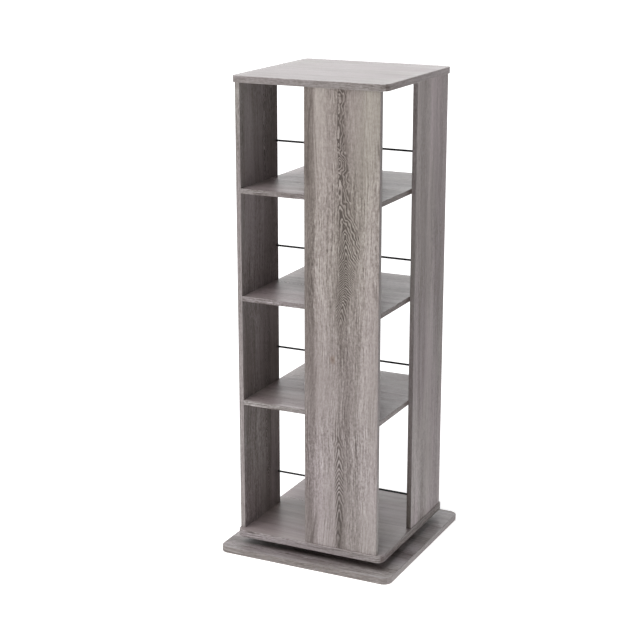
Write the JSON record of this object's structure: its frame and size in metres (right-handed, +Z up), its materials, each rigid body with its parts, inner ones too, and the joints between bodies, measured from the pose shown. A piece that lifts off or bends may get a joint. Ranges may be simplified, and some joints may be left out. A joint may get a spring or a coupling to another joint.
{
  "type": "revolving bookcase",
  "caption": "Tall square bookcase of grey oak boards with open tiers that turns on a ball-bearing turntable over a wider base board; panels stand round the shelves as a pinwheel.",
  "frame": {"origin": "centre of the footprint, on the floor under the pads; the turning axis passes through it", "axes": "+Z up along the turning axis; -Y is the front at rest, +X is to the right seen from the front"},
  "size_m": [0.456, 0.456, 1.174],
  "materials": {
    "oak_board": "grey oak melamine on particle board, satin",
    "edge_band": "grey oak printed band",
    "cam_cap": "plain grey-brown plastic",
    "black_rod": "black powder coat",
    "zinc_steel": "zinc-plated pressed steel",
    "screw_steel": "zinc-plated steel",
    "cam_zinc": "die-cast zinc",
    "dowel_wood": "bare beech",
    "cage_nylon": "natural nylon",
    "ball_steel": "polished",
    "pad_foam": "dense black foam"
  },
  "bodies": {
    "base": {"base_board": "oak_board", "base_board_edge_band": "edge_band", "floor_pads": "pad_foam", "turntable_lower_plate": "zinc_steel", "lower_plate_screws": "screw_steel"},
    "carcase": {"front_panel": "oak_board", "right_panel": "oak_board", "back_panel": "oak_board", "left_panel": "oak_board", "shelf_1": "oak_board", "shelf_2": "oak_board", "shelf_3": "oak_board", "top_board": "oak_board", "bottom_board": "oak_board", "spacer_board": "oak_board", "turntable_upper_plate": "zinc_steel", "upper_plate_screws": "screw_steel", "spacer_screws": "screw_steel", "cross_rod_1": "black_rod", "cross_rod_2": "black_rod", "cross_rod_3": "black_rod", "cross_rod_4": "black_rod", "depth_rod_1": "black_rod", "depth_rod_2": "black_rod", "depth_rod_3": "black_rod", "depth_rod_4": "black_rod", "cam_locks": "cam_zinc", "cam_caps": "cam_cap", "cam_bolts": "screw_steel", "dowels": "dowel_wood", "bottom_screws": "screw_steel", "front_panel_edge_bands": "edge_band", "right_panel_edge_bands": "edge_band", "back_panel_edge_bands": "edge_band", "left_panel_edge_bands": "edge_band", "shelf_1_edge_bands": "edge_band", "shelf_2_edge_bands": "edge_band", "shelf_3_edge_bands": "edge_band", "top_board_edge_band": "edge_band", "bottom_board_edge_band": "edge_band"},
    "bearing_cage": {"ball_cage": "cage_nylon", "bearing_balls": "ball_steel"}
  },
  "joints": [
    {"name": "carcase_spin", "type": "hinge", "parent": "base", "child": "carcase", "pos_m": [0, 0, 0.022], "axis": [0, 0, 1], "continuous": true},
    {"name": "cage_spin", "type": "hinge", "parent": "base", "child": "bearing_cage", "pos_m": [0, 0, 0.022], "axis": [0, 0, 1], "continuous": true}
  ],
  "couplings": [
    {"joint": "cage_spin", "follows": "carcase_spin", "ratio": 0.5}
  ]
}
